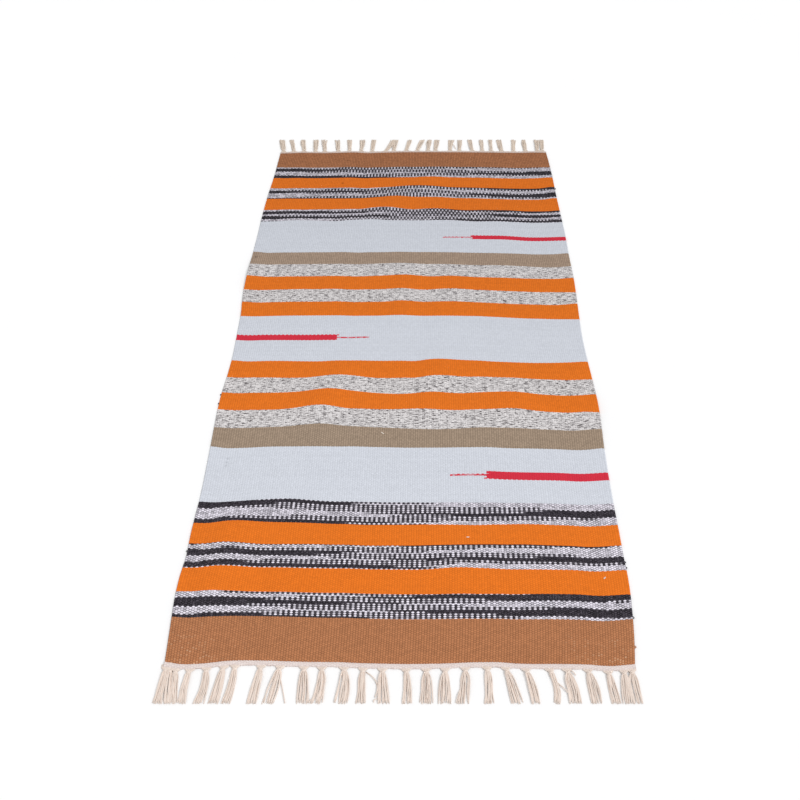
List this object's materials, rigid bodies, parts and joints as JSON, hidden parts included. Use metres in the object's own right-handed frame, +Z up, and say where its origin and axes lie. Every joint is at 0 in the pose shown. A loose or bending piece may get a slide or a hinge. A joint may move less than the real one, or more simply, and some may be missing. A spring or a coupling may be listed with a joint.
{
  "type": "kilim rug",
  "caption": "Flat-woven striped cotton runner rug that lies on a floor, with a cream end band and knotted warp tassels along both short ends.",
  "frame": {"origin": "on the floor, under the middle of the rug and its fringes", "axes": "+X across the rug, +Y along it from the near end to the far end, +Z up out of the floor"},
  "size_m": [0.7074, 1.523, 0.0087],
  "materials": {
    "woven_cotton": "weft-faced plain weave in tan, orange, taupe, pale blue-grey, flecked and black-and-white bands, matt",
    "fringe_cotton": "undyed plied cotton warp, matt"
  },
  "bodies": {
    "root": {"rug": "woven_cotton", "fringe_near": "fringe_cotton", "fringe_far": "fringe_cotton"}
  },
  "joints": []
}
